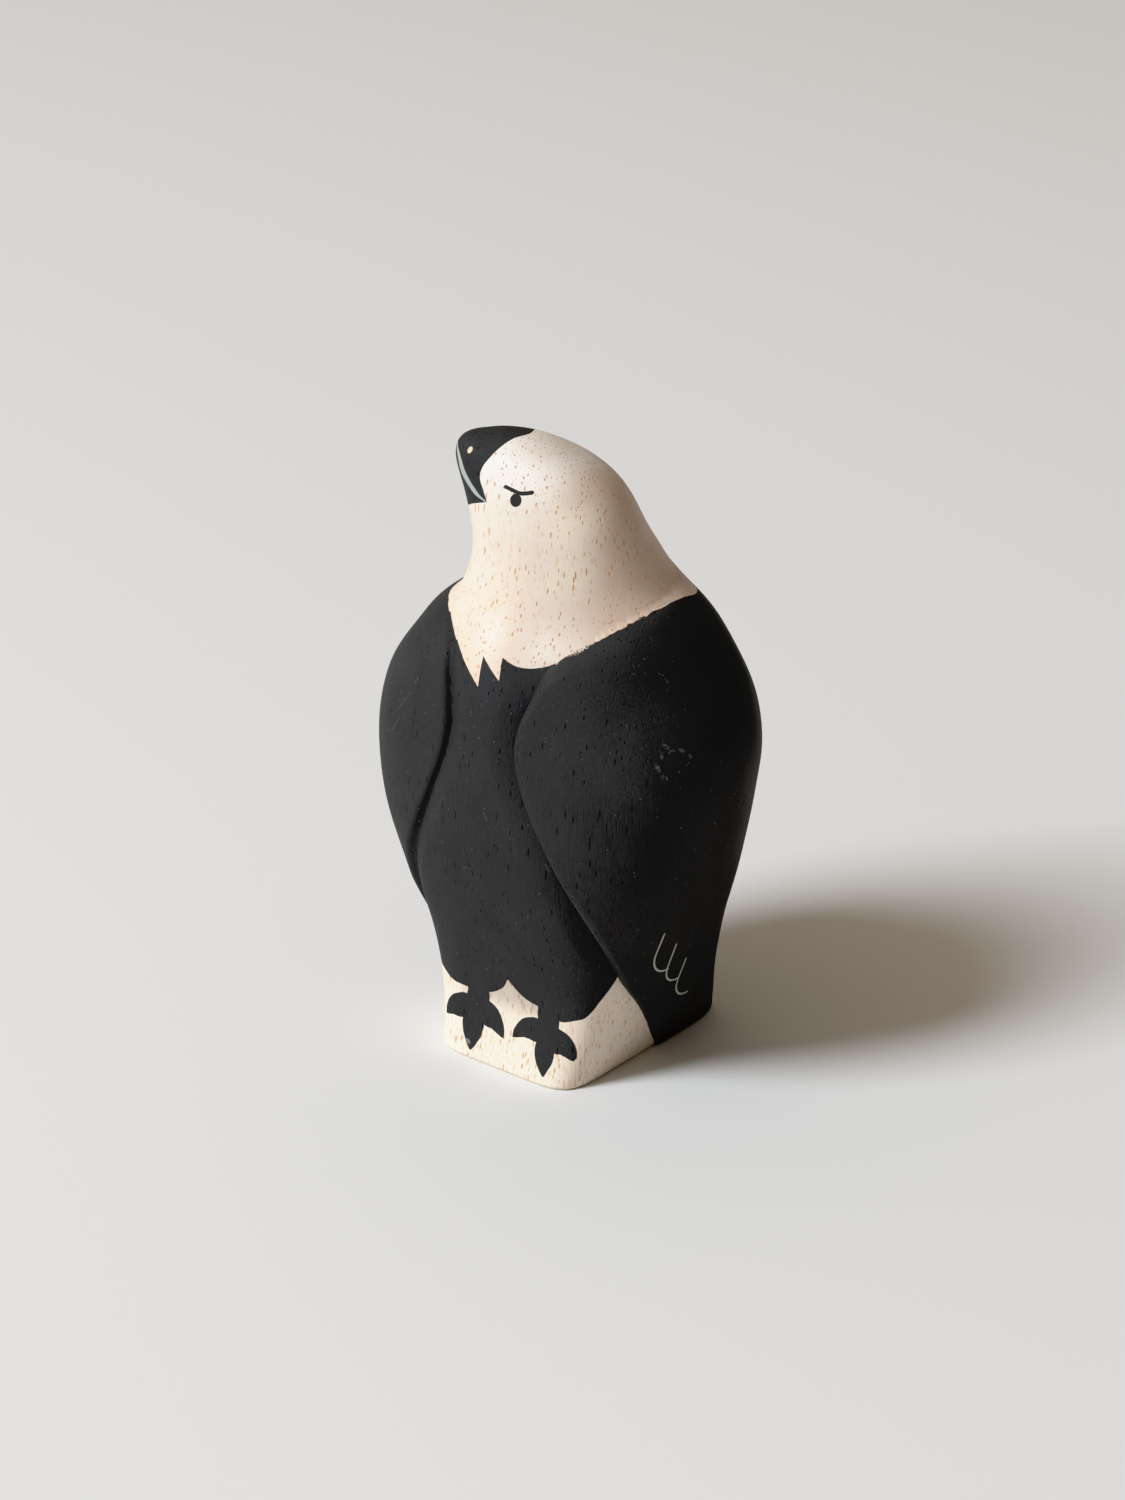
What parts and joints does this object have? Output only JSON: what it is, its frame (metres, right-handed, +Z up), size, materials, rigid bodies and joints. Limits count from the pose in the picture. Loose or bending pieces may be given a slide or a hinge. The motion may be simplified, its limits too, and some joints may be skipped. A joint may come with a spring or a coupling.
{
  "type": "wooden eagle carving",
  "caption": "Small standing eagle carved from one piece of pale wood, head turned and beak raised, folded wings, matt dark paint over bare wood, flat underside.",
  "frame": {"origin": "centre of the flat underside that the carving stands on", "axes": "+Z up; the breast faces -Y, the bird's left wing is on +X, and the head is turned towards -X"},
  "size_m": [0.0494, 0.0371, 0.08],
  "materials": {
    "painted_wood": "matt dark paint over bare, finely sanded pale wood"
  },
  "bodies": {
    "root": {"eagle_carving": "painted_wood"}
  },
  "joints": []
}
